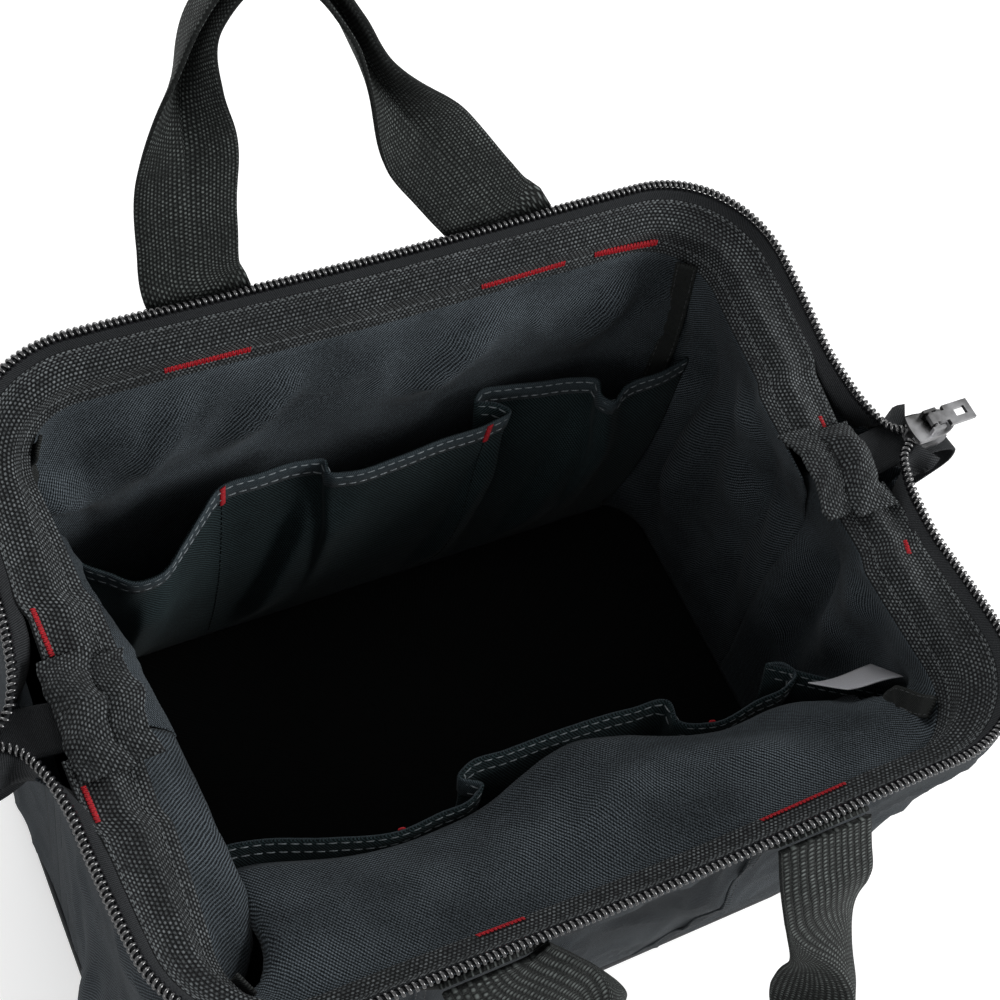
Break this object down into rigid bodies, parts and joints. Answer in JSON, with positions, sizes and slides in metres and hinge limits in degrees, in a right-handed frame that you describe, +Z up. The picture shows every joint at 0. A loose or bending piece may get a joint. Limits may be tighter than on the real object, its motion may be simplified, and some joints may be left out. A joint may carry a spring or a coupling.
{
  "type": "zippered tool bag",
  "caption": "Soft black tool bag with a rectangular base, a wide mouth held open by folding wires, a coil zip, webbing handles and inner pockets",
  "frame": {"origin": "centre of the underside of the base, at rest on a table", "axes": "+X along the length to the right end, +Y to the back, +Z up"},
  "size_m": [0.4212, 0.4083, 0.3766],
  "materials": {
    "cloth": "fine twill oxford cloth, coated",
    "lining": "thin twill lining",
    "webbing": "coarse basket-weave webbing",
    "strap": "fine heavy webbing",
    "zip_cloth": "woven zip tape",
    "coil": "nylon coil",
    "board": "cloth-covered stiffener",
    "steel": "plain bright wire",
    "zip_metal": "die-cast, bright",
    "tag": "blank satin label"
  },
  "bodies": {
    "root": {"bottom_panel": "cloth", "base_board": "board", "bottom_binding": "webbing", "front_lower_wall": "cloth", "back_lower_wall": "cloth", "right_end_wall": "cloth", "left_end_wall": "cloth", "front_right_seam_tape": "webbing", "front_left_seam_tape": "webbing", "back_right_seam_tape": "webbing", "back_left_seam_tape": "webbing", "back_left_pocket": "lining", "back_middle_pocket": "lining", "back_right_pocket": "lining", "front_left_pocket": "lining", "front_middle_pocket": "lining", "front_right_pocket": "lining", "blank_tag": "tag"},
    "front_frame": {"front_frame_wire": "steel", "front_band": "webbing", "front_mouth_wall": "cloth", "front_lining": "lining", "front_zip_tape": "zip_cloth", "front_zip_coil": "coil", "front_right_handle_anchor": "strap", "front_left_handle_anchor": "strap", "right_rivet": "steel", "left_rivet": "steel", "right_hinge_cover": "webbing", "right_hinge_strip": "webbing", "left_hinge_cover": "webbing", "left_hinge_strip": "webbing", "right_tail_tab": "zip_cloth", "left_tail_tab": "zip_cloth"},
    "back_frame": {"back_frame_wire": "steel", "back_band": "webbing", "back_mouth_wall": "cloth", "back_zip_tape": "zip_cloth", "back_zip_coil": "coil", "back_right_handle_anchor": "strap", "back_left_handle_anchor": "strap", "right_rivet_cap": "steel", "left_rivet_cap": "steel"},
    "front_grip": {"front_handle": "strap"},
    "back_grip": {"back_handle": "strap"},
    "right_zip_slider": {"right_slider": "zip_metal"},
    "left_zip_slider": {"left_slider": "zip_metal"},
    "right_zip_pull": {"right_pull": "zip_metal"},
    "left_zip_pull": {"left_pull": "zip_metal"}
  },
  "joints": [
    {"name": "front_fold", "type": "hinge", "parent": "root", "child": "front_frame", "pos_m": [0, -0.07276, 0.13907], "axis": [-1, 0, 0], "range_deg": [0, 79.88], "deforming": ["front_lining", "front_zip_tape", "front_zip_coil", "right_hinge_cover", "right_hinge_strip", "left_hinge_cover", "left_hinge_strip"]},
    {"name": "back_fold", "type": "hinge", "parent": "root", "child": "back_frame", "pos_m": [0, 0.08103, 0.13907], "axis": [1, 0, 0], "range_deg": [0, 73.88], "deforming": ["back_zip_tape", "back_zip_coil"]},
    {"name": "front_handle_swing", "type": "hinge", "parent": "front_frame", "child": "front_grip", "pos_m": [0, -0.13244, 0.20938], "axis": [-1, 0, 0], "range_deg": [0, 59.12]},
    {"name": "back_handle_swing", "type": "hinge", "parent": "back_frame", "child": "back_grip", "pos_m": [0, 0.13033, 0.2249], "axis": [-1, 0, 0], "range_deg": [0, 64.88]},
    {"name": "right_slide", "type": "slide", "parent": "root", "child": "right_zip_slider", "axis": [-0.9998, 0, 0.0213], "range_m": [0, 0.17864]},
    {"name": "left_slide", "type": "slide", "parent": "root", "child": "left_zip_slider", "axis": [0.9998, 0, 0.0213], "range_m": [0, 0.17864]},
    {"name": "right_pull_swing", "type": "hinge", "parent": "right_zip_slider", "child": "right_zip_pull", "pos_m": [0.1926, 0, 0.2121], "axis": [0, -1, 0], "range_deg": [0, 95]},
    {"name": "left_pull_swing", "type": "hinge", "parent": "left_zip_slider", "child": "left_zip_pull", "pos_m": [-0.1926, 0, 0.2121], "axis": [0, 1, 0], "range_deg": [0, 95]}
  ],
  "couplings": [
    {"joint": "back_fold", "follows": "front_fold", "ratio": 0.92488},
    {"joint": "right_slide", "follows": "front_fold", "m_per_rad": 0.12812},
    {"joint": "left_slide", "follows": "front_fold", "m_per_rad": 0.12812},
    {"joint": "back_handle_swing", "follows": "front_handle_swing", "ratio": 1.0975}
  ]
}
